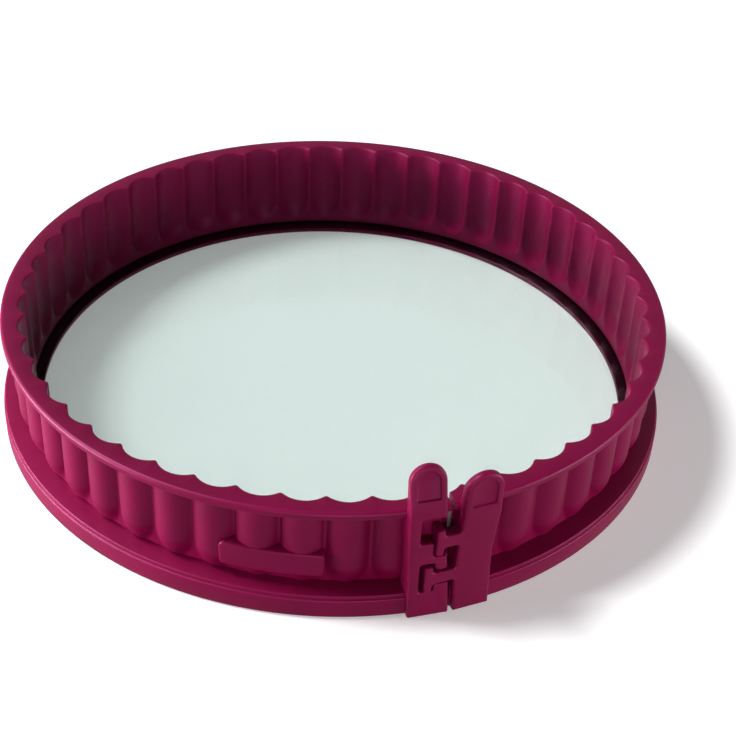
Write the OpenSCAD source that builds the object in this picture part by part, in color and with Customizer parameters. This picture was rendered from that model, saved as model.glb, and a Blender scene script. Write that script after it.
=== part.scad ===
// Quiche pan: a fluted silicone ring with an interlocking clasp, closed round a flat glass base plate.
// Millimetres. The origin is on the pan's axis, on the table. The clasp faces -Y.
// Angles run from -Y towards +X. A tab's own frame has x along the tab and y upwards.

/* [Ring] */
// Radius of the rim's outer edge
rim_r = 152; // [140:1:165]
// Height from the table to the top of the rim
ring_h = 53; // [46:1:64]
// Thickness of the rim
rim_t = 4; // [3:0.5:6]
// Rounding of the rim's outer edge
rim_round = 1.5; // [0.5:0.25:1.5]
// How far the rim stands out past the flutes
rim_out = 3.5; // [2:0.5:6]

/* [Flutes] */
// Number of flutes in a full turn
flute_n = 50; // [44:1:58]
// Depth of the outer flutes
flute_depth = 4.2; // [3.4:0.1:4.6]
// Depth of the inner grooves
groove_depth = 3.3; // [2.6:0.1:3.7]
// Width of the plain wall between two flutes, and between two grooves
valley_w = 1.2; // [0.8:0.1:2]
// Wall thickness at a flute's crest
flute_wall = 4.2; // [3.5:0.1:5]
// Height at which the flutes start to curve in towards the base
bend_z = 22; // [20:1:26]
// Radius of that curve
bend_r = 20; // [19:1:40]
// How far the flute pattern is turned from the middle of the clasp
flute_turn = -1; // [-3.5:0.25:3.5]

/* [Flange] */
// How far the flange stands out past the rim
flange_out = 2.5; // [1:0.5:6]
// Height of the flange
flange_h = 11; // [10:0.5:14]
// Depth of the small step round the flange's upper edge
step_w = 1.5; // [0.5:0.25:2.5]
// Height of that step
step_h = 1.8; // [1:0.1:2.2]
// Rounding of the flange's outer edges
flange_round = 0.8; // [0.3:0.1:1.2]
// Thickness of the lip that carries the plate
lip_t = 3; // [2:0.25:4]
// How far that lip reaches in past the wall
lip_in = 4.5; // [1:0.5:8]
// Silicone outside the plate's edge
channel_wall = 5; // [3:0.5:7]

/* [Base plate] */
// Thickness of the plate
plate_t = 5; // [3.5:0.5:5.5]
// Clearance round the plate's edge and over it
plate_gap = 0.3; // [0.2:0.05:0.5]
// Size of the chamfer on the plate's edges
plate_chamfer = 0.8; // [0.3:0.1:1.2]

/* [Plaque] */
// Width of the bare plaque along the wall
plaque_w = 43; // [30:1:60]
// Height of its bottom edge
plaque_z = 13.5; // [12.5:0.5:16]
// Height of its face
plaque_h = 13; // [8:0.5:16]
// How far its face stands out past the flutes' crests
plaque_out = 0.5; // [0.3:0.1:1.5]
// Rise of its sloping top edge
plaque_slope = 2.7; // [1.5:0.1:4]
// Rounding of its corners
plaque_round = 2.2; // [1:0.2:4]
// Angle of its middle from the clasp
plaque_turn = -27.2; // [-60:0.2:-24]

/* [Clasp] */
// Width of each tab at its foot
tab_w = 16; // [14:0.25:18]
// How far the tabs' faces stand out past the flange
tab_out = 2.5; // [1.5:0.25:4]
// Thickness of the tabs in front of the wall
tongue_t = 6.3; // [5:0.1:6.5]
// Slope of the tongues' backs, which makes their tips thinner
tongue_taper = 8; // [0:1:8]
// Open slit between the two tabs
tab_slit = 2.5; // [2:0.25:4]
// Seam between the two ends of the wall behind the tabs
seam_gap = 0.8; // [0.5:0.1:1.5]
// How much wider the seam is at the rim than at the foot
seam_spread = 1.6; // [1:0.1:3.5]
// Width of the left tongue
left_tongue_w = 14.8; // [12:0.2:16]
// Height of the left tongue above the rim, along its face
left_tongue_up = 22.5; // [18:0.5:26]
// Sideways shift of the left tongue
left_tongue_shift = -2.8; // [-3.5:0.1:0]
// Lean of the left tongue towards the pan
left_tongue_lean = 14; // [0:1:20]
// Height above the rim at which it starts to lean
left_lean_up = 1.5; // [1:0.5:4]
// How much wider the left tab's foot is on each side
left_foot_out = 0.7; // [0:0.1:1]
// Width of the right tongue
right_tongue_w = 16; // [13:0.2:17]
// Height of the right tongue above the rim
right_tongue_up = 16.5; // [14:0.5:22]
// Sideways shift of the right tongue
right_tongue_shift = 1.4; // [0:0.1:3]
// How much the right tab narrows above its foot on its outer side
waist = 0.8; // [0:0.1:2]
// How much it swells there towards its hooks
swell = 0.7; // [0:0.05:0.8]
// Height above the rim at which the left finger pad starts
left_pad_up = 7; // [3:0.5:10]
// Height above the rim at which the right one does
right_pad_up = 0.5; // [0.5:0.5:5]
// Margin round the sunken finger pads
pad_margin = 2.4; // [1.5:0.1:4]
// Depth of the finger pads
pad_depth = 0.9; // [0.4:0.1:1.5]

/* [Hooks] */
// Height of the lower hook's middle
hook_z = 20.6; // [19:0.2:22]
// Distance between the two hooks
hook_pitch = 18.4; // [17.6:0.2:19.4]
// Height of a hook's head
head_h = 13; // [11:0.25:14]
// Thickness of a hook's head
head_t = 3.2; // [2:0.1:4]
// Height of a hook's stem
stem_h = 5.8; // [4:0.2:7]
// Radius of the hollow between head and stem
hook_fillet = 3.4; // [2:0.1:3.5]
// Reach of the lower hook past the right tab's edge
low_reach = 13.4; // [11:0.2:14]
// Reach of the upper hook, which sits less deep because the ends spread
high_reach = 9.4; // [8.5:0.1:11]
// Clearance round the hooks
hook_gap = 0.9; // [0.5:0.1:1.2]
// Clearance behind the hooks
hook_back = 0.5; // [0.3:0.1:1]
// How far the lower pocket reaches past the left tab's middle
low_pocket_in = 4.7; // [3:0.1:5.5]
// How far the upper pocket does
high_pocket_in = 5.4; // [3.5:0.1:6]
// Width of the pockets
pocket_w = 6; // [4:0.2:7]
// Height of the upper pocket's top edge below the rim
pocket_down = 1.2; // [0.5:0.1:2]

/* [Hidden] */
$fn = 96;
// Facets of the wide rounds
round_fn = 256;
// Reach of a cutter past what it cuts
past = 1;
// Overlap of two forms that are moulded as one
skin = 0.5;
berry = [0.56, 0.05, 0.3];
glass = [0.8, 0.9, 0.88, 0.5];

pitch = 360 / flute_n;
crest_r = rim_r - rim_out;
wall_r = crest_r - flute_depth;
hollow_r = crest_r - flute_wall;
bore_r = hollow_r - groove_depth;
under_rim = ring_h - rim_t;

flange_r = rim_r + flange_out;
plate_r = flange_r - channel_wall - plate_gap;
plate_top = lip_t + plate_t;
channel_top = plate_top + plate_gap;
lip_r = bore_r - lip_in;

tab_front = flange_r + tab_out;
tab_back = tab_front - tongue_t;
// The tabs are rooted in the wall from above the plate's channel up to the middle of the rim
tab_root = wall_r - 2 * skin;
tab_root_z = (channel_top + flange_h) / 2;
tab_root_top = under_rim + rim_t / 2;
tab_turn = atan((tab_w / 2 + tab_slit / 2) / tab_front);
pocket_top = ring_h - pocket_down;
upright_z = under_rim - rim_t;
arm_z = hook_z - stem_h;
waist_z = hook_z + hook_pitch / 2;
lean_z = ring_h + left_lean_up;
left_top = lean_z + (left_tongue_up - left_lean_up) * cos(left_tongue_lean);
right_top = ring_h + right_tongue_up;

// A 2D outline in a tab's frame, made solid from radius r0 out to radius r1
module radial(r0, r1) {
    translate([0, -r0, 0]) rotate([90, 0, 0]) linear_extrude(r1 - r0) children();
}

module left_frame() { rotate([0, 0, -tab_turn]) children(); }
module right_frame() { rotate([0, 0, tab_turn]) children(); }

// A bar of the ring's section with both outer edges rounded
module rounded_bar(r_in, r_out, z0, z1, r) {
    translate([r_in, z0]) square([r_out - r - r_in, z1 - z0]);
    translate([r_in, z0 + r]) square([r_out - r_in, z1 - z0 - 2 * r]);
    for (z = [z0 + r, z1 - r]) translate([r_out - r, z]) circle(r);
}

// Section of the ring without its flutes
module ring_section() {
    difference() {
        union() {
            translate([bore_r, 0]) square([wall_r - bore_r, ring_h - skin]);
            rounded_bar(bore_r, rim_r, under_rim, ring_h, rim_round);
            rounded_bar(lip_r, flange_r, 0, flange_h - step_h, flange_round);
            rounded_bar(bore_r, flange_r - step_w, lip_t, flange_h, flange_round);
        }
        translate([0, lip_t]) square([plate_r + plate_gap, channel_top - lip_t]);
    }
}

// A flute on the round surface of radius base: the outer part of a round column whose crest reaches
// the radius crest, and which curves in towards its foot
module flute(base, crest, z0, z1) {
    half = base * sin(pitch / 2) - valley_w / 2;
    rise = crest - sqrt(base * base - half * half);
    r = (rise * rise + half * half) / (2 * rise);
    intersection() {
        translate([0, r - crest, 0]) rotate_extrude() {
            translate([0, bend_z]) square([r, z1 - bend_z]);
            intersection() {
                translate([0, z0]) square([r, bend_z - z0]);
                translate([r - bend_r, bend_z]) circle(bend_r, $fn = round_fn);
            }
        }
        translate([-r, -crest - past, z0 - past]) cube([2 * r, past + rise + skin, z1 - z0 + 2 * past]);
    }
}

module flutes(base, crest, z0, z1) {
    for (i = [0:flute_n - 1])
        rotate([0, 0, flute_turn + i * pitch]) flute(base, crest, z0, z1);
}

// The bare plaque on the wall, with a sloping top edge
module plaque() {
    face_r = crest_r + plaque_out;
    top = plaque_z + plaque_h;
    rotate([0, 0, plaque_turn]) intersection() {
        rotate_extrude() polygon([
            [wall_r - skin, plaque_z],
            [face_r, plaque_z],
            [face_r, top],
            [wall_r, top + plaque_slope],
            [wall_r - skin, top + plaque_slope]
        ]);
        radial(bore_r, tab_front) plaque_outline(top + plaque_slope - plaque_z);
    }
}

module plaque_outline(h) {
    r = plaque_round;
    translate([-plaque_w / 2 + r, plaque_z]) square([plaque_w - 2 * r, h]);
    translate([-plaque_w / 2, plaque_z + r]) square([plaque_w, h - r]);
    for (s = [-1, 1]) translate([s * (plaque_w / 2 - r), plaque_z + r]) circle(r);
}

// Outline of a tongue with a round end, from height z0
module tongue_outline(w, shift, z0, top) {
    translate([shift - w / 2, z0]) square([w, top - w / 2 - z0]);
    translate([shift, top - w / 2]) circle(w / 2);
}

module left_outline() {
    half = left_tongue_w / 2;
    polygon([
        [-tab_w / 2 - left_foot_out, 0],
        [tab_w / 2 + left_foot_out, 0],
        [tab_w / 2 - left_foot_out / 2, arm_z],
        [left_tongue_shift + half, upright_z],
        [left_tongue_shift + half, ring_h],
        [left_tongue_shift - half, ring_h],
        [left_tongue_shift - half, upright_z]
    ]);
    tongue_outline(left_tongue_w, left_tongue_shift, ring_h, left_top);
}

// Outline of the right tab, waisted above its foot
module right_outline() {
    half = right_tongue_w / 2;
    polygon([
        [-tab_w / 2, 0],
        [tab_w / 2, 0],
        [tab_w / 2 - waist, waist_z],
        [right_tongue_shift + half, under_rim],
        [right_tongue_shift + half, ring_h],
        [right_tongue_shift - half, ring_h],
        [right_tongue_shift - half, under_rim],
        [-tab_w / 2 - swell / 2, waist_z],
        [-tab_w / 2 - swell, arm_z]
    ]);
    tongue_outline(right_tongue_w, right_tongue_shift, ring_h, right_top);
}

// Outline of one hook, grown on all sides by g, with its root in the right tab
module hook_outline(z, reach, g) {
    tip = -tab_w / 2 - reach;
    neck = tip + head_t;
    f = hook_fillet;
    translate([tip - g, z - head_h / 2 - g]) square([head_t + 2 * g, head_h + 2 * g]);
    translate([neck, z - stem_h / 2 - g]) square([reach - head_t + 2 * past, stem_h + 2 * g]);
    for (s = [-1, 1]) difference() {
        translate([neck, z + s * stem_h / 2 - (s < 0 ? f : 0)]) square(f);
        translate([neck + f, z + s * (stem_h / 2 + f)]) circle(f - g);
    }
}

module hook_outlines(g) {
    hook_outline(hook_z, low_reach, g);
    hook_outline(hook_z + hook_pitch, high_reach, g);
}

// The seam between the wall's ends: a narrow slit at the foot that opens towards the rim
module seam_outline() {
    foot = seam_gap / 2;
    top = foot + seam_spread / 2;
    polygon([
        [-foot, -past],
        [foot, -past],
        [foot, arm_z],
        [top, ring_h],
        [top, ring_h + past],
        [-top, ring_h + past],
        [-top, ring_h],
        [-foot, arm_z]
    ]);
}

module seam() {
    radial(lip_r - past, tab_back - skin) seam_outline();
    radial(tab_back - skin, tab_front + past) intersection() {
        seam_outline();
        union() {
            translate([-tab_w / 2, -past]) square([tab_w, flange_h + 2 * past]);
            translate([-tab_w / 2, under_rim - past]) square([tab_w, rim_t + 2 * past]);
        }
    }
}

// Thickness of a tongue at a height above the top of its root
function thickness(up) = tongue_t - up * tan(tongue_taper);

// Side profile of a tab: rooted in the wall up to the rim, with a free tongue above it that gets
// thinner and leans towards the pan
module tab_profile(lean) {
    reach = max(left_tongue_up, right_tongue_up);
    low = thickness(lean_z - tab_root_top);
    tip = thickness(lean_z + reach - tab_root_top);
    front_tip = [tab_front - reach * sin(lean), lean_z + reach * cos(lean)];
    polygon([
        [tab_back, 0],
        [tab_front, 0],
        [tab_front, lean_z],
        front_tip,
        front_tip - tip * [cos(lean), sin(lean)],
        [tab_front - low, lean_z - low * tan(lean / 2)],
        [tab_back, tab_root_top],
        [tab_root, tab_root_top],
        [tab_root, tab_root_z],
        [tab_back, tab_root_z]
    ]);
}

// A tab, where its front outline and its side profile meet
module tab_solid(lean) intersection() {
    radial(tab_root, tab_front) children();
    rotate([90, 0, -90]) linear_extrude(2 * tab_front, center = true) tab_profile(lean);
}

// Turns a cutter for the left tongue inwards with it
module leaning() {
    translate([0, -tab_front, lean_z]) rotate([-left_tongue_lean, 0, 0])
        translate([0, tab_front, -lean_z]) children();
}

module finger_pad(w, shift, z0, top) {
    radial(tab_front - pad_depth, tab_front + past)
        tongue_outline(w - 2 * pad_margin, shift, z0, top - pad_margin);
}

// Outline of the two pockets that the hooks' heads sit in, in the left tab's frame
module pocket_outlines() {
    high_z = hook_z + hook_pitch;
    half = head_h / 2 + hook_gap;
    translate([-low_pocket_in, hook_z - half]) square([pocket_w, 2 * half]);
    translate([-high_pocket_in, high_z]) square([pocket_w, pocket_top - high_z]);
    translate([-high_pocket_in, high_z + half - skin]) square([tab_w, pocket_top - high_z - half + skin]);
}

module left_tab() difference() {
    left_frame() tab_solid(left_tongue_lean) left_outline();
    left_frame() leaning()
        finger_pad(left_tongue_w, left_tongue_shift, ring_h + left_pad_up, ring_h + left_tongue_up);
    left_frame() radial(tab_front - tongue_t, tab_front + past) pocket_outlines();
    right_frame() radial(tab_front - tongue_t, tab_front + past) hook_outlines(hook_gap);
}

module right_tab() right_frame() difference() {
    tab_solid(0) right_outline();
    finger_pad(right_tongue_w, right_tongue_shift, ring_h + right_pad_up, right_top);
}

module hooks() right_frame()
    radial(tab_front - tongue_t + hook_back, tab_front) hook_outlines(0);

module silicone_ring() color(berry) {
    difference() {
        union() {
            rotate_extrude($fn = round_fn) ring_section();
            flutes(wall_r, crest_r, flange_h - skin, under_rim + skin);
            plaque();
            left_tab();
            right_tab();
        }
        flutes(bore_r, hollow_r, plate_top, ring_h + past);
        seam();
    }
    hooks();
}

module base_plate() color(glass) {
    c = plate_chamfer;
    rotate_extrude($fn = round_fn) polygon([
        [0, lip_t],
        [plate_r - c, lip_t],
        [plate_r, lip_t + c],
        [plate_r, plate_top - c],
        [plate_r - c, plate_top],
        [0, plate_top]
    ]);
}

silicone_ring();
base_plate();
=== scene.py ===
# Looks of the quiche pan: a fluted silicone ring with a hooked clasp, closed round a glass base plate.
# Sizes are in millimetres and are turned into metres where a mesh is made.
# Angles run from -Y towards +X, and the clasp is at angle 0.
import math

import bmesh
import bpy
import numpy as np
from mathutils import Matrix, Vector
from mathutils.geometry import tessellate_polygon


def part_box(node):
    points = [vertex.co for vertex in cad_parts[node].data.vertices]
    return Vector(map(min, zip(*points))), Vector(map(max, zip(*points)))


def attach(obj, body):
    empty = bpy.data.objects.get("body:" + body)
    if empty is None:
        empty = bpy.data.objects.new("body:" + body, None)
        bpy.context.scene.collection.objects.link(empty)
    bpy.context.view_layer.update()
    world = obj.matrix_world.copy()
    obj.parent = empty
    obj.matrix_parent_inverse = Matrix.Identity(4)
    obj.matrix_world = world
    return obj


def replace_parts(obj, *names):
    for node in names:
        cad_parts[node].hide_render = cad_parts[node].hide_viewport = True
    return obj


MM = 0.001

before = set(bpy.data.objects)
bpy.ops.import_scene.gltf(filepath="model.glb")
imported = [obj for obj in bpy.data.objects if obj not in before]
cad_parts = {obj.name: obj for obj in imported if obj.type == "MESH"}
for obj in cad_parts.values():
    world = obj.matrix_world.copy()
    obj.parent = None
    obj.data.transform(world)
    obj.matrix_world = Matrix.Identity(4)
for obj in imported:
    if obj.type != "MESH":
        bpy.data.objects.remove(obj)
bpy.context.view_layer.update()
ring_low, ring_high = (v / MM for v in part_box("silicone_ring"))
plate_low, plate_high = (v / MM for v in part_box("base_plate"))

# Ring
flange_out = 2.5
tab_out = 2.5
flange_r = min(ring_high.x, -ring_low.x)
rim_r = flange_r - flange_out
tab_front = flange_r + tab_out
ring_h = 53.0
rim_t = 4.0
rim_round = 1.5
under_rim = ring_h - rim_t
flange_h = 11.0
step_w = 0.7
step_h = 1.8
flange_round = 0.8
step_round = 0.5
lip_t = plate_low.z
lip_in = 4.5
lip_round = 0.5
plate_gap = 0.3
channel_r = plate_high.x + plate_gap
channel_top = plate_high.z + plate_gap

# Flutes
flute_n = 50
flute_turn = math.radians(-1.0)
pitch = 2 * math.pi / flute_n
flute_depth = 4.2
flute_wall = 4.2
groove_depth = 3.3
crest_r = 148.5
wall_r = crest_r - flute_depth
hollow_r = crest_r - flute_wall
bore_r = hollow_r - groove_depth
lip_r = bore_r - lip_in
valley_w = 1.0
valley_soft = 0.3
bend_z = 22.0
bend_r = 20.0
rim_fillet = 0.6
inner_round = 0.9
# Shares of the height at which the bent foot and the upright wall have rows
bend_shares = np.linspace(0.0, 1.0, 13)
upright_shares = (0.33, 0.67)
# Places of a half flute's columns, from the middle of the valley
column_steps = (0.0, 0.25, 0.45, 0.75, 1.3, 2.2, 3.5, 5.1, 7.0)
# Steps of the ring's roundings
lip_steps = 2
fillet_steps = 3
edge_steps = 4
rim_steps = 5

# Seam between the ring's ends, which move apart over the last stretch of the wall
seam_half = 0.4
seam_half_top = 0.9
seam_stretch = 14.0
seam_clear = math.radians(0.15)

# Tabs, whose tongues rise above the rim
tab_turn = math.radians(3.37)
tab_half = 8.0
tab_depth = 6.3
tab_taper = math.tan(math.radians(8.0))
arm_z = 14.8
waist_z = 29.8
upright_z = under_rim - rim_t
foot_out = 0.7
waist = 0.8
swell = 0.7
lean_z = 52.0
lean_length = 5.0
lean_angle = math.radians(14.0)
lean_steps = 6
left_middle = -2.8
left_width = 14.8
left_top = 75.5
right_middle = 1.4
right_width = 16.0
right_top = 69.5

# Roots of the tabs in the ring's wall
root_z = (channel_top + flange_h) / 2
root_top = under_rim + rim_t / 2
root_inset = 0.05
root_sink = 1.0
root_overlap = 0.3

# Finger pads, sunk into the tongues
left_pad_z = 60.0
right_pad_z = 53.5
pad_depth = 0.9
pad_margin = 2.4
pad_round = 0.5
pad_soft = 0.35
pad_lead = 0.12

# Hooks and pockets, the lower one first
hook_z = (20.6, 39.0)
hook_reach = (13.4, 9.4)
hook_t = 5.8
stem_half = 2.9
head_half = 6.5
head_t = 3.2
hook_fillet = 3.4
hook_gap = 0.9
pocket_x = (-4.7, -5.4)
pocket_top = ring_h - 1.2
mouth_drop = 0.8
neck_drop = 2.2

# Bevels of the tabs' edges
edge_bevel = 1.4
foot_bevel = 0.4
hook_bevel = 0.75
back_bevel = 0.6
bevel_depth = 1.0
bevel_steps = 5
back_steps = 3

# Radii of the tabs' corners
root_round = 0.2
foot_round = 0.4
nib_round = 0.6
head_round = 0.7
pocket_round = 0.8
shelf_round = 1.2
stem_round = 1.4
mouth_round = 1.6
body_round = 2.0
left_flank_round = 8.0
shoulder_round = 10.0
right_flank_round = 16.0

# Plaque
plaque_turn = math.radians(-27.2)
plaque_w = 43.0
plaque_z = 16.8
plaque_h = 11.4
plaque_r = crest_r + 0.5
plaque_slope = 1.0
plaque_slope_power = 3
plaque_round = 2.2
plaque_bevel = 0.8
plaque_bevel_steps = 4
plaque_steps = 16
# Shares of its depth at which the plaque has rows behind its bevel
plaque_shares = (1.0, 0.75, 0.5)

# Base plate
plate_r = plate_high.x
plate_round = 0.8
plate_round_steps = 5
plate_sides = 256

# Shading: edges that turn by more than this stay sharp
sharp_angle = math.radians(38)
tab_sharp_angle = math.radians(32)

# Limits of the outlines: steps of a small and a large corner, and what counts as straight or as nothing
corner_steps = 5
large_corner_steps = 14
large_corner = 5.0
least_round = 0.02
straight_turn = 0.02
straight_angle = 3.1
edge_share = 0.4999
nothing = 1e-6
cut_limit = 1e-5


def smooth_max(a, b, k):
    """The greater of two arrays, blended over k."""
    h = np.maximum(k - np.abs(a - b), 0.0) / k
    return np.maximum(a, b) + h * h * k / 4


def arc(x, y, r, start, end, steps):
    """Points of an arc from one angle to another, in degrees."""
    angles = np.radians(np.linspace(start, end, steps + 1))
    return [(x + r * math.cos(a), y + r * math.sin(a)) for a in angles]


def cap(loops, first):
    """Triangles that fill flat loops of (x, y) points, whose corners are numbered on from first."""
    flat = [[Vector((x, y, 0.0)) for x, y in loop] for loop in loops]
    return [tuple(first + i for i in tri) for tri in tessellate_polygon(flat)]


# Meshes and pieces
def work_mesh(points, faces):
    """A working mesh from points and faces."""
    work = bmesh.new()
    corners = [work.verts.new(p) for p in points]
    for face in faces:
        work.faces.new([corners[i] for i in face])
    return work


def cut_across(work, places, axis):
    """Cuts a working mesh at some places along an axis, so that it can bend there."""
    for place in places:
        everything = work.verts[:] + work.edges[:] + work.faces[:]
        bmesh.ops.bisect_plane(work, geom=everything, plane_co=axis * place, plane_no=axis, dist=cut_limit)


def linked(name, data):
    """A new object in the scene, from a mesh, a lamp or a camera."""
    thing = bpy.data.objects.new(name, data)
    bpy.context.scene.collection.objects.link(thing)
    return thing


def dressed(piece, material, angle=sharp_angle):
    """A piece with its material and smooth shading, riding on the part's one body."""
    piece.data.materials.clear()
    piece.data.materials.append(material)
    piece.data.shade_smooth()
    piece.data.set_sharp_from_angle(angle=angle)
    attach(piece, "root")
    return piece


def make_piece(name, points, faces, material):
    """A piece from points in millimetres, with clean normals."""
    mesh = bpy.data.meshes.new(name)
    mesh.from_pydata([tuple(c * MM for c in p) for p in points], [], faces)
    work = bmesh.new()
    work.from_mesh(mesh)
    bmesh.ops.recalc_face_normals(work, faces=work.faces)
    work.to_mesh(mesh)
    work.free()
    return dressed(linked(name, mesh), material)


# The fluted ring
def fluted(phi, z, base, crest):
    """Radius of a fluted surface at height z, where phi is the angle from the nearest crest."""
    half = base * math.sin(pitch / 2) - valley_w / 2
    rise = crest - math.sqrt(base * base - half * half)
    r = (rise * rise + half * half) / (2 * rise)
    axis = crest - r
    drop = 0.0
    if z < bend_z:
        drop = bend_r - math.sqrt(bend_r**2 - (bend_z - z) ** 2)
    room = (r - drop) ** 2 - (axis * np.sin(phi)) ** 2
    reach = axis * np.cos(phi) + np.sqrt(np.maximum(room, 0.0))
    return smooth_max(np.full_like(phi, base), reach, valley_soft)


def column_angles():
    """Angles of the ring's columns, denser in the valleys, from one face of the seam to the other."""
    crest = wall_r * pitch / 2
    places = sorted([*column_steps, crest] + [2 * crest - s for s in column_steps[1:]])
    turn = [flute_turn + (i + 0.5) * pitch + s / wall_r for i in range(flute_n) for s in places]
    full = 2 * math.pi
    inside = sorted(a % full for a in turn)
    return np.array([0.0] + [a for a in inside if seam_clear < a < full - seam_clear] + [full])


def ring_rows(phi):
    """The ring's section as rows of (radius at each column, height), once round, anticlockwise."""
    rows = []

    def row(r, z):
        rows.append((np.zeros_like(phi) + r, z))

    def corner(r, z, radius, start, end, steps=edge_steps):
        for dr, dz in arc(0.0, 0.0, radius, start, end, steps):
            row(r + dr, z + dz)

    def outside(z):
        return fluted(phi, z, wall_r, crest_r)

    def inside(z):
        return fluted(phi, z, bore_r, hollow_r)

    def climb(surface, start, end, shares):
        for t in shares:
            z = start + t * (end - start)
            row(surface(z), z)

    step_z = flange_h - step_h
    corner(lip_r + lip_round, lip_round, lip_round, 180, 270, lip_steps)
    row((lip_r + flange_r) / 2, 0.0)
    corner(flange_r - flange_round, flange_round, flange_round, 270, 360)
    corner(flange_r - flange_round, step_z - flange_round, flange_round, 0, 90)
    row(flange_r - step_w, step_z)
    corner(flange_r - step_w - step_round, flange_h - step_round, step_round, 0, 90)
    climb(outside, flange_h, bend_z, bend_shares)
    climb(outside, bend_z, under_rim, upright_shares)
    corner(outside(under_rim) + rim_fillet, under_rim - rim_fillet, rim_fillet, 180, 90, fillet_steps)
    corner(rim_r - rim_round, under_rim + rim_round, rim_round, 270, 360, rim_steps)
    corner(rim_r - rim_round, ring_h - rim_round, rim_round, 0, 90, rim_steps)
    corner(inside(ring_h) + inner_round, ring_h - inner_round, inner_round, 90, 180)
    climb(inside, ring_h, bend_z, upright_shares)
    low = channel_top + lip_round
    climb(inside, bend_z, low, bend_shares)
    corner(bore_r + lip_round, low, lip_round, 210, 270, lip_steps)
    row(channel_r, channel_top)
    row(channel_r, lip_t)
    corner(lip_r + lip_round, lip_t - lip_round, lip_round, 90, 180, lip_steps)
    return rows


def seam_shift(angle, z):
    """How far a column moves sideways, so that the ring's ends stand apart at the seam."""
    rise = max(0.0, z - arm_z) / (ring_h - arm_z)
    half = seam_half + (seam_half_top - seam_half) * rise
    near = np.maximum(0.0, 1 - angle * wall_r / seam_stretch)
    far = np.maximum(0.0, 1 - (2 * math.pi - angle) * wall_r / seam_stretch)
    return half * (near - far)


def fluted_ring(material):
    """The rim, wall and flange: one strip of columns from one face of the seam to the other."""
    angles = column_angles()
    phi = (angles - flute_turn + pitch / 2) % pitch - pitch / 2
    rows = ring_rows(phi)
    columns = len(angles)
    count = len(rows)
    points = np.zeros((columns, count, 3))
    for j, (r, z) in enumerate(rows):
        points[:, j, 0] = r * np.sin(angles) + seam_shift(angles, z)
        points[:, j, 1] = -r * np.cos(angles)
        points[:, j, 2] = z
    faces = []
    for i in range(columns - 1):
        for j in range(count):
            k = (j + 1) % count
            faces.append((i * count + j, (i + 1) * count + j, (i + 1) * count + k, i * count + k))
    for i in (0, columns - 1):
        faces += cap([[(r[i], z) for r, z in rows]], i * count)
    return make_piece("fluted_ring", points.reshape(-1, 3).tolist(), faces, material)


# Outlines with rounded corners
def offset_corners(corners, inset):
    """Corners of an outline moved inwards, as (x, z, corner radius).

    Each corner that goes in is (x, z, corner radius, bevel of the edge that starts there).
    """
    count = len(corners)
    edges = []
    for i in range(count):
        x0, z0, _, bevel = corners[i]
        x1, z1 = corners[(i + 1) % count][:2]
        length = math.hypot(x1 - x0, z1 - z0)
        ux, uz = (x1 - x0) / length, (z1 - z0) / length
        d = inset * bevel
        edges.append((x0 - uz * d, z0 + ux * d, ux, uz, d))
    moved = []
    for i in range(count):
        ax, az, aux, auz, ad = edges[i - 1]
        bx, bz, bux, buz, bd = edges[i]
        cross = aux * buz - auz * bux
        radius = corners[i][2]
        if abs(cross) < straight_turn:
            moved.append((bx, bz, radius))
            continue
        t = ((bx - ax) * buz - (bz - az) * bux) / cross
        change = (ad + bd) / 2
        radius = max(least_round, radius - change) if cross > 0 else radius + change
        moved.append((ax + aux * t, az + auz * t, radius))
    return moved


def outline(corners, inset=0.0):
    """Points round an outline: every corner becomes an arc, with as many points at every inset."""
    moved = offset_corners(corners, inset)
    count = len(moved)
    points = []
    for i, (x, z, radius) in enumerate(moved):
        px, pz = moved[i - 1][:2]
        nx, nz = moved[(i + 1) % count][:2]
        before = math.hypot(px - x, pz - z)
        after = math.hypot(nx - x, nz - z)
        ux, uz = (px - x) / before, (pz - z) / before
        vx, vz = (nx - x) / after, (nz - z) / after
        angle = math.acos(max(-1.0, min(1.0, ux * vx + uz * vz)))
        steps = large_corner_steps if corners[i][2] > large_corner else corner_steps
        back = 0.0 if angle > straight_angle else radius / math.tan(angle / 2)
        back = min(back, edge_share * before, edge_share * after)
        radius = back * math.tan(angle / 2)
        a = (x + ux * back, z + uz * back)
        b = (x + vx * back, z + vz * back)
        middle = math.hypot(ux + vx, uz + vz)
        if back < nothing or middle < nothing:
            for s in range(steps + 1):
                points.append((a[0] + (b[0] - a[0]) * s / steps, a[1] + (b[1] - a[1]) * s / steps))
            continue
        away = radius / math.sin(angle / 2)
        cx, cz = x + (ux + vx) / middle * away, z + (uz + vz) / middle * away
        start = math.atan2(a[1] - cz, a[0] - cx)
        sweep = math.atan2(b[1] - cz, b[0] - cx) - start
        sweep = (sweep + math.pi) % (2 * math.pi) - math.pi
        for s in range(steps + 1):
            t = start + sweep * s / steps
            points.append((cx + radius * math.cos(t), cz + radius * math.sin(t)))
    return points


# Plates with rounded edges, as points (x, depth behind the front, z) and faces
def bridges(first, count, rows):
    """Faces between rows of as many points each, which are numbered on from first."""
    faces = []
    for j in range(rows - 1):
        at = first + j * count
        for i in range(count):
            k = (i + 1) % count
            faces.append((at + i, at + k, at + count + k, at + count + i))
    return faces


def plate_rows(depth):
    """(inset, depth) of a plate's rows, from its softly rounded back to its rounded front."""
    rows = []
    for t in np.linspace(0.0, math.pi / 2, back_steps + 1):
        rows.append((back_bevel * (1 - math.sin(t)), depth - bevel_depth * back_bevel * (1 - math.cos(t))))
    for t in np.linspace(0.0, math.pi / 2, bevel_steps + 1):
        rows.append((1 - math.cos(t), bevel_depth * (1 - math.sin(t))))
    return rows


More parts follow.
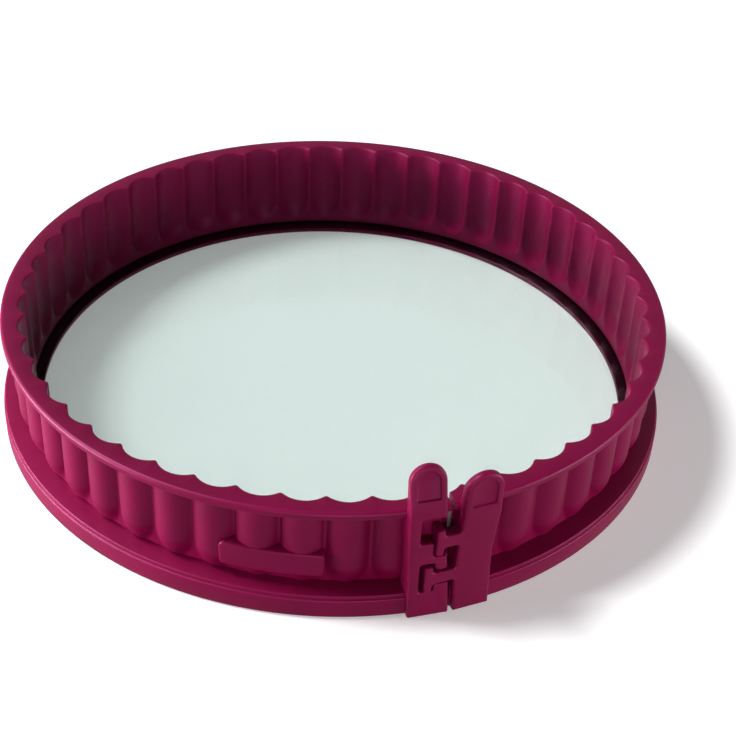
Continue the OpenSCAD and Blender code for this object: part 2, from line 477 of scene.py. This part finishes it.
def plate_mesh(corners, rows, first_depth=0.0, pad=None):
    """A plate from its outline's corners. The pad, if any, outlines a sunken field in its front."""
    points = []
    for inset, depth in rows:
        loop = outline(corners, inset)
        points += [(x, first_depth + depth, z) for x, z in loop]
    count = len(loop)
    front = (len(rows) - 1) * count
    faces = bridges(0, count, len(rows)) + cap([outline(corners, rows[0][0])], 0)
    if pad is None:
        return points, faces + cap([loop], front)
    pad_rows = (
        (0.0, 0.0),
        (pad_lead, pad_lead),
        (pad_soft, pad_soft),
        (pad_soft, pad_depth - pad_soft),
        (pad_soft + pad_lead, pad_depth - pad_lead),
        (2 * pad_soft, pad_depth),
    )
    base = len(points)
    for inset, depth in pad_rows:
        points += [(x, first_depth + depth, z) for x, z in outline(pad, inset)]
    hole = outline(pad)
    for tri in cap([loop, hole], 0):
        faces.append(tuple(front + i if i < count else base + i - count for i in tri))
    faces += bridges(base, len(hole), len(pad_rows))
    floor = base + (len(pad_rows) - 1) * len(hole)
    return points, faces + cap([outline(pad, pad_rows[-1][0])], floor)


# The clasp
def pad_corners(middle, width, bottom, top):
    """A finger pad that follows its tongue's round tip."""
    half = width / 2 - pad_margin
    return [
        (middle - half, bottom, pad_round, 1.0),
        (middle + half, bottom, pad_round, 1.0),
        (middle + half, top - pad_margin, half, 1.0),
        (middle - half, top - pad_margin, half, 1.0),
    ]


def edge_x(z, edge):
    """Where an edge through (x, z) points, from low to high, passes height z."""
    return float(np.interp(z, [p[1] for p in edge], [p[0] for p in edge]))


def in_left_frame(x):
    """A place along the right tab's face, seen in the left tab's frame."""
    return x * math.cos(2 * tab_turn) + tab_front * math.sin(2 * tab_turn)


def left_edges():
    """The left tab's two long edges, as (x, z) points from the foot up."""
    half = left_width / 2
    left = [(-tab_half - foot_out, 0.0), (left_middle - half, upright_z)]
    right = [
        (tab_half + foot_out, 0.0),
        (tab_half - foot_out / 2, arm_z),
        (left_middle + half, upright_z),
    ]
    return left, right


def right_edges():
    """The right tab's two long edges, as (x, z) points from the foot up."""
    half = right_width / 2
    left = [
        (-tab_half, 0.0),
        (-tab_half - swell, arm_z),
        (-tab_half - swell / 2, waist_z),
        (right_middle - half, under_rim),
    ]
    right = [(tab_half, 0.0), (tab_half - waist, waist_z), (right_middle + half, under_rim)]
    return left, right


def left_face():
    """The left tab's front, with the two pockets for the hooks' heads."""
    left, right = left_edges()
    corners = [(*left[0], foot_round, foot_bevel), (*right[0], foot_round, edge_bevel)]
    for level, (z, reach) in enumerate(zip(hook_z, hook_reach)):
        neck = in_left_frame(-tab_half - reach + head_t) + hook_gap
        stem_low, stem_top = z - stem_half - hook_gap, z + stem_half + hook_gap
        head_low, head_top = z - head_half - hook_gap, z + head_half + hook_gap
        inner = hook_fillet - hook_gap
        if level == 0:
            corners += [
                (edge_x(stem_low, right), stem_low, pocket_round, hook_bevel),
                (neck, stem_low, inner, hook_bevel),
                (neck, head_low, nib_round, hook_bevel),
                (pocket_x[level], head_low, pocket_round, hook_bevel),
                (pocket_x[level], head_top, pocket_round, hook_bevel),
                (neck, head_top, nib_round, hook_bevel),
                (neck, stem_top, inner, hook_bevel),
                (edge_x(stem_top, right), stem_top, mouth_round, hook_bevel),
            ]
        else:
            far = in_left_frame(-tab_half - reach) - hook_gap
            corners += [
                (edge_x(stem_low, right), stem_low - mouth_drop, mouth_round, hook_bevel),
                (neck, stem_low - neck_drop, pocket_round, hook_bevel),
                (neck, head_low, nib_round, hook_bevel),
                (far, head_low, shelf_round, hook_bevel),
                (far, z, shelf_round, hook_bevel),
                (pocket_x[level], z, pocket_round, hook_bevel),
                (pocket_x[level], pocket_top, pocket_round, hook_bevel),
                (right[-1][0], pocket_top, pocket_round, edge_bevel),
            ]
    half = left_width / 2
    return corners + [
        (left_middle + half, left_top, half, edge_bevel),
        (left_middle - half, left_top, half, edge_bevel),
        (left_middle - half, upright_z, left_flank_round, edge_bevel),
    ]


def right_face():
    """The right tab's front, with the two hooks that reach into the left tab."""
    left, right = right_edges()
    half = right_width / 2
    corners = [(*right[0], foot_round, edge_bevel)]
    corners += [(x, z, right_flank_round, edge_bevel) for x, z in right[1:]]
    corners += [
        (right_middle + half, right_top, half, edge_bevel),
        (right_middle - half, right_top, half, edge_bevel),
        (*left[-1], shoulder_round, edge_bevel),
    ]
    for z, reach in reversed(list(zip(hook_z, hook_reach))):
        tip = -tab_half - reach
        neck = tip + head_t
        corners += [
            (edge_x(z + stem_half, left), z + stem_half, stem_round, hook_bevel),
            (neck, z + stem_half, hook_fillet, hook_bevel),
            (neck, z + head_half, head_round, hook_bevel),
            (tip, z + head_half, head_round, hook_bevel),
            (tip, z - head_half, head_round, hook_bevel),
            (neck, z - head_half, head_round, hook_bevel),
            (neck, z - stem_half, hook_fillet, hook_bevel),
            (edge_x(z - stem_half, left), z - stem_half, stem_round, edge_bevel),
        ]
    return corners + [(*left[0], foot_round, foot_bevel)]


def body_outline(left, right):
    """A tab's body behind its front, from above the plate's channel up to the middle of the rim."""

    def side(edge, step):
        ends = (root_z, root_top)
        places = [root_z] + [z for x, z in edge if root_z < z < root_top] + [root_top]
        return [(edge_x(z, edge) + step, z, root_round if z in ends else body_round, 1.0) for z in places]

    return side(right, -root_inset) + side(left, root_inset)[::-1]


def thinned(x, depth, z, full):
    """Brings a tongue's back forward towards its tip."""
    behind = (depth - bevel_depth) / (full - 2 * bevel_depth)
    less = max(0.0, z - root_top) * tab_taper
    return x, depth - less * min(1.0, max(0.0, behind)), z


def lean(x, depth, z):
    """Bends a tongue smoothly towards the pan above its lean height."""
    t = (z - lean_z) / lean_length
    if t <= 0:
        return x, depth, z
    radius = lean_length / lean_angle
    angle = min(t, 1.0) * lean_angle
    beyond = max(0.0, t - 1.0) * lean_length
    r = radius - depth
    new_depth = radius - r * math.cos(angle) + beyond * math.sin(angle)
    new_z = lean_z + r * math.sin(angle) + beyond * math.cos(angle)
    return x, new_depth, new_z


def tab_part(name, points, faces, turn, full=0.0, bent=False):
    """A part of a tab, set in its place. One with a tongue gives its full depth, and it may lean."""
    work = work_mesh(points, faces)
    if full:
        bends = [lean_z + lean_length * i / lean_steps for i in range(lean_steps + 1)]
        cut_across(work, [root_top] + bends, Vector((0, 0, 1)))
        for v in work.verts:
            v.co = Vector(thinned(*v.co, full))
    if bent:
        for v in work.verts:
            v.co = Vector(lean(*v.co))
    bmesh.ops.recalc_face_normals(work, faces=work.faces)
    spin = Matrix.Rotation(turn, 3, "Z")
    for v in work.verts:
        x, depth, z = v.co
        v.co = spin @ Vector((x, depth - tab_front, z)) * MM
    mesh = bpy.data.meshes.new(name)
    work.to_mesh(mesh)
    work.free()
    return linked(name, mesh)


def join(base, other):
    """Makes base one closed solid with other, and removes other."""
    change = base.modifiers.new("join", "BOOLEAN")
    change.operation = "UNION"
    change.solver = "EXACT"
    change.object = other
    bpy.context.view_layer.update()
    done = bpy.data.meshes.new_from_object(base.evaluated_get(bpy.context.evaluated_depsgraph_get()))
    base.modifiers.clear()
    base.data = done
    bpy.data.objects.remove(other)


def clasp_tab(name, face, edges, pad, depth, turn, bent, material):
    """A tab of the clasp: a front plate with its tongue, and the body that roots it in the wall."""
    tab = tab_part(name, *plate_mesh(face, plate_rows(depth), pad=pad), turn, depth, bent)
    rows = [(0.0, tab_front - wall_r + root_sink - depth), (0.0, -root_overlap)]
    body = tab_part(name + "_body", *plate_mesh(body_outline(*edges), rows, first_depth=depth), turn)
    join(tab, body)
    return dressed(tab, material, tab_sharp_angle)


# The plaque
def plaque(material):
    """The bare plaque: a plate bent round the ring, with a sloping top edge."""
    half = plaque_w / 2
    soft = plaque_bevel
    corners = [
        (-half, plaque_z, plaque_round, soft),
        (half, plaque_z, plaque_round, soft),
        (half, plaque_z + plaque_h, plaque_round, soft),
        (-half, plaque_z + plaque_h, plaque_round, soft),
    ]
    depth = plaque_r - wall_r + root_sink
    rows = [(0.0, depth * share) for share in plaque_shares]
    for t in np.linspace(0.0, math.pi / 2, plaque_bevel_steps + 1):
        rows.append((1 - math.cos(t), soft * (1 - math.sin(t))))
    work = work_mesh(*plate_mesh(corners, rows))
    bends = [plaque_w * i / plaque_steps - half for i in range(1, plaque_steps)]
    cut_across(work, bends, Vector((1, 0, 0)))
    points = []
    for v in work.verts:
        x, d, z = v.co
        level = max(0.0, (z - plaque_z) / plaque_h)
        z += plaque_slope * min(1.0, d / (plaque_r - wall_r)) * level**plaque_slope_power
        a = plaque_turn + x / plaque_r
        points.append(((plaque_r - d) * math.sin(a), -(plaque_r - d) * math.cos(a), z))
    work.verts.index_update()
    faces = [[v.index for v in f.verts] for f in work.faces]
    work.free()
    return make_piece("plaque", points, faces, material)


# The base plate
def base_plate(material):
    """A flat disc with rounded edges."""
    edge = plate_r - plate_round
    profile = [(0.0, plate_low.z)]
    profile += arc(edge, plate_low.z + plate_round, plate_round, -90, 0, plate_round_steps)
    profile += arc(edge, plate_high.z - plate_round, plate_round, 0, 90, plate_round_steps)
    profile.append((0.0, plate_high.z))
    points = [(0.0, 0.0, profile[0][1]), (0.0, 0.0, profile[-1][1])]
    ring = profile[1:-1]
    for i in range(plate_sides):
        a = 2 * math.pi * i / plate_sides
        points += [(r * math.cos(a), r * math.sin(a), z) for r, z in ring]
    count = len(ring)
    faces = []
    for i in range(plate_sides):
        here = 2 + i * count
        there = 2 + ((i + 1) % plate_sides) * count
        faces.append((0, there, here))
        faces.append((1, here + count - 1, there + count - 1))
        faces += [(here + j, there + j, there + j + 1, here + j + 1) for j in range(count - 1)]
    return make_piece("glass_plate", points, faces, material)


# Shader nodes, where noise mostly runs from its low to its high value
noise_low = 0.3
noise_high = 0.7


def new_material(name):
    """A material with its nodes, links and main shader."""
    material = bpy.data.materials.new(name)
    material.use_nodes = True
    nodes = material.node_tree.nodes
    return material, nodes, material.node_tree.links, nodes["Principled BSDF"]


def noise(nodes, links, scale, detail, roughness=0.5):
    """Noise in the object's own space, with its size in cycles a metre."""
    place = nodes.new("ShaderNodeTexCoord")
    texture = nodes.new("ShaderNodeTexNoise")
    texture.inputs["Scale"].default_value = scale
    texture.inputs["Detail"].default_value = detail
    texture.inputs["Roughness"].default_value = roughness
    links.new(place.outputs["Object"], texture.inputs["Vector"])
    return texture.outputs["Fac"]


def spread(nodes, links, value, low, high, start=noise_low, end=noise_high):
    """A value that runs from start to end, spread from low to high."""
    change = nodes.new("ShaderNodeMapRange")
    change.inputs["From Min"].default_value = start
    change.inputs["From Max"].default_value = end
    change.inputs["To Min"].default_value = low
    change.inputs["To Max"].default_value = high
    links.new(value, change.inputs["Value"])
    return change.outputs["Result"]


def bump(nodes, links, height, distance, strength, below=None):
    """A bumped normal, on top of another one if there is one below."""
    node = nodes.new("ShaderNodeBump")
    node.inputs["Distance"].default_value = distance
    node.inputs["Strength"].default_value = strength
    links.new(height, node.inputs["Height"])
    if below is not None:
        links.new(below, node.inputs["Normal"])
    return node.outputs["Normal"]


def calculate(nodes, links, operation, *values):
    """The result of a Math node, from values that are numbers or other nodes' outputs."""
    node = nodes.new("ShaderNodeMath")
    node.operation = operation
    for socket, value in zip(node.inputs, values):
        if isinstance(value, float):
            socket.default_value = value
        else:
            links.new(value, socket)
    return node.outputs[0]


def any_ray(nodes, links, kinds):
    """1 for a ray of one of these kinds, and 0 for any other."""
    rays = nodes.new("ShaderNodeLightPath")
    found = rays.outputs[kinds[0]]
    for kind in kinds[1:]:
        found = calculate(nodes, links, "MAXIMUM", found, rays.outputs[kind])
    return found


# Materials
berry_dark = (0.172, 0.0004, 0.035, 1)
berry_light = (0.198, 0.0006, 0.042, 1)
berry_gloss = (1.0, 0.4, 0.8, 1)
glass_tint = (0.86, 0.945, 0.92, 1)
white = (1, 1, 1, 1)
# Noises, as cycles a metre, detail and, for the grain, its roughness
silicone_clouds = (45, 4)
silicone_smears = (160, 5)
silicone_waves = (70, 2)
silicone_grain = (2600, 3, 0.6)
glass_smears = (220, 4)
glass_waves = (30, 2)
# Values of the clouds' noise at which the silicone is darkest and lightest
cloud_range = (0.35, 0.65)
# Bumps, as distance in metres and strength
silicone_wave_bump = (0.0006, 0.12)
silicone_grain_bump = (0.00008, 0.3)
glass_wave_bump = (0.0004, 0.1)
# Roughness, over the smears from low to high
silicone_rough = (0.4, 0.48)
glass_rough = (0.015, 0.05)
floor_rough = 0.9
silicone_specular = 0.38
floor_specular = 0.1
glass_ior = 1.5
# Share of light that goes under the silicone's skin, and how far its red, green and blue go, in metres
skin_share = 0.06
skin_reach = (0.006, 0.0008, 0.002)
# How white the floor is to the camera and through glass, and how much light it throws back
floor_white = 0.95
floor_bounce = 0.15
# Share of white that the floor adds to what is seen of it, and that gloss and glass show of the world
backdrop_share = 0.28


def silicone():
    """Satin moulded silicone: deep berry, a little cloudy, with a fine blasted grain."""
    material, nodes, links, shader = new_material("berry_silicone")
    tone = nodes.new("ShaderNodeValToRGB")
    for element, place, colour in zip(tone.color_ramp.elements, cloud_range, (berry_dark, berry_light)):
        element.position = place
        element.color = colour
    links.new(noise(nodes, links, *silicone_clouds), tone.inputs["Fac"])
    links.new(tone.outputs["Color"], shader.inputs["Base Color"])
    smears = noise(nodes, links, *silicone_smears)
    links.new(spread(nodes, links, smears, *silicone_rough), shader.inputs["Roughness"])
    shader.inputs["Specular IOR Level"].default_value = silicone_specular
    shader.inputs["Specular Tint"].default_value = berry_gloss
    shader.inputs["Subsurface Weight"].default_value = skin_share
    shader.inputs["Subsurface Radius"].default_value = skin_reach
    shader.inputs["Subsurface Scale"].default_value = 1.0
    waves = bump(nodes, links, noise(nodes, links, *silicone_waves), *silicone_wave_bump)
    grain = bump(nodes, links, noise(nodes, links, *silicone_grain), *silicone_grain_bump, waves)
    links.new(grain, shader.inputs["Normal"])
    return material


def plate_glass():
    """Clear pressed glass with a slight green tint and a barely wavy face."""
    material, nodes, links, shader = new_material("plate_glass")
    shader.inputs["Base Color"].default_value = glass_tint
    shader.inputs["Transmission Weight"].default_value = 1.0
    shader.inputs["IOR"].default_value = glass_ior
    smears = noise(nodes, links, *glass_smears)
    links.new(spread(nodes, links, smears, *glass_rough), shader.inputs["Roughness"])
    waves = bump(nodes, links, noise(nodes, links, *glass_waves), *glass_wave_bump)
    links.new(waves, shader.inputs["Normal"])
    return material


def floor_paper():
    """Matt floor that looks white, keeps the shadow and throws little light back."""
    material, nodes, links, shader = new_material("floor_paper")
    shader.inputs["Roughness"].default_value = floor_rough
    shader.inputs["Specular IOR Level"].default_value = floor_specular
    shader.inputs["Emission Color"].default_value = white
    shown = any_ray(nodes, links, ("Is Camera Ray", "Is Glossy Ray", "Is Transmission Ray"))
    glow = calculate(nodes, links, "MULTIPLY", shown, backdrop_share)
    links.new(glow, shader.inputs["Emission Strength"])
    direct = any_ray(nodes, links, ("Is Camera Ray", "Is Transmission Ray"))
    tone = spread(nodes, links, direct, floor_bounce, floor_white, 0.0, 1.0)
    links.new(tone, shader.inputs["Base Color"])
    return material


# The photograph's camera: its distance from the pan's axis, its height and how it is turned
view_turn = math.radians(-18.6)
camera_level = 570.9
camera_height = 430.1
camera_dip = math.radians(35.36)
camera_pan = math.radians(-1.34)
camera_tilt = math.radians(-0.92)
camera_roll = math.radians(-2.01)
focal_px = 1476.1
photo_px = 736
sensor_mm = 36.0
nearest_seen = 10.0


def add_camera():
    """Sets up the photograph's camera."""
    right = Vector((1, 0, 0))
    ahead = Vector((0, math.cos(camera_dip), -math.sin(camera_dip)))
    up = Vector((0, math.sin(camera_dip), math.cos(camera_dip)))
    pan = Matrix.Rotation(camera_pan, 3, up)
    right, ahead = pan @ right, pan @ ahead
    tilt = Matrix.Rotation(camera_tilt, 3, right)
    up, ahead = tilt @ up, tilt @ ahead
    roll = Matrix.Rotation(camera_roll, 3, ahead)
    right, up = roll @ right, roll @ up
    turn = Matrix.Rotation(view_turn, 3, "Z")
    axes = Matrix((turn @ right, turn @ up, turn @ -ahead)).transposed()
    data = bpy.data.cameras.new("photo_camera")
    data.sensor_width = sensor_mm
    data.lens = focal_px / photo_px * sensor_mm
    data.clip_start = nearest_seen * MM
    camera = linked("photo_camera", data)
    place = turn @ Vector((0, -camera_level, camera_height)) * MM
    camera.matrix_world = Matrix.Translation(place) @ axes.to_4x4()
    bpy.context.scene.camera = camera


# The studio, in metres. A lamp's place is to the camera's right, away from it and up
floor_half = 3.0
floor_z = -0.0003
aim = Vector((0, 0, 0.03))
key_place = (-0.38, 0.09, 0.53)
key_power = 3.4
key_angle = math.radians(18)
# Name, place, width, height and power of each soft lamp
soft_lamps = (
    ("left_lamp", (-0.6, -0.1, 0.06), 0.4, 0.08, 6.0),
    ("right_lamp", (0.6, -0.2, 0.06), 0.4, 0.08, 2.0),
    ("front_lamp", (0.1, -1.0, 0.15), 0.6, 0.2, 3.5),
)
world_light = 0.02


def add_floor():
    """A wide floor just under the pan."""
    h = floor_half
    corners = [(-h, -h, floor_z), (h, -h, floor_z), (h, h, floor_z), (-h, h, floor_z)]
    mesh = bpy.data.meshes.new("floor")
    mesh.from_pydata(corners, [], [(0, 1, 2, 3)])
    mesh.materials.append(floor_paper())
    floor = linked("floor", mesh)


def add_lamp(name, data, place):
    """A lamp at its place, turned to the pan."""
    lamp = linked(name, data)
    lamp.location = Matrix.Rotation(view_turn, 3, "Z") @ Vector(place)
    lamp.rotation_euler = (aim - lamp.location).to_track_quat("-Z", "Y").to_euler()
    return lamp


def add_lamps():
    """A soft sun from the upper left, and low strip lamps that draw the flutes."""
    sun = bpy.data.lights.new("key_lamp", "SUN")
    sun.energy = key_power
    sun.angle = key_angle
    add_lamp("key_lamp", sun, key_place)
    for name, place, width, height, power in soft_lamps:
        data = bpy.data.lights.new(name, "AREA")
        data.shape = "RECTANGLE"
        data.size = width
        data.size_y = height
        data.energy = power
        add_lamp(name, data, place).visible_camera = False


def add_world():
    """White to the camera, with a share of it in gloss and glass, and hardly any light."""
    world = bpy.data.worlds.new("studio")
    bpy.context.scene.world = world
    world.use_nodes = True
    nodes, links = world.node_tree.nodes, world.node_tree.links
    sky = nodes["Background"]
    sky.inputs["Color"].default_value = white
    seen = spread(nodes, links, any_ray(nodes, links, ("Is Camera Ray",)), world_light, 1.0, 0.0, 1.0)
    shown = any_ray(nodes, links, ("Is Glossy Ray", "Is Transmission Ray"))
    strength = calculate(nodes, links, "MULTIPLY_ADD", shown, backdrop_share, seen)
    links.new(strength, sky.inputs["Strength"])


berry = silicone()
add_camera()
pieces = [
    fluted_ring(berry),
    clasp_tab(
        "left_tab",
        left_face(),
        left_edges(),
        pad_corners(left_middle, left_width, left_pad_z, left_top),
        tab_depth,
        -tab_turn,
        True,
        berry,
    ),
    clasp_tab(
        "right_tab",
        right_face(),
        right_edges(),
        pad_corners(right_middle, right_width, right_pad_z, right_top),
        hook_t,
        tab_turn,
        False,
        berry,
    ),
    plaque(berry),
]
for piece in pieces:
    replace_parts(piece, "silicone_ring")
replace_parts(base_plate(plate_glass()), "base_plate")
add_floor()
add_lamps()
add_world()
bpy.context.scene.view_settings.view_transform = "Standard"
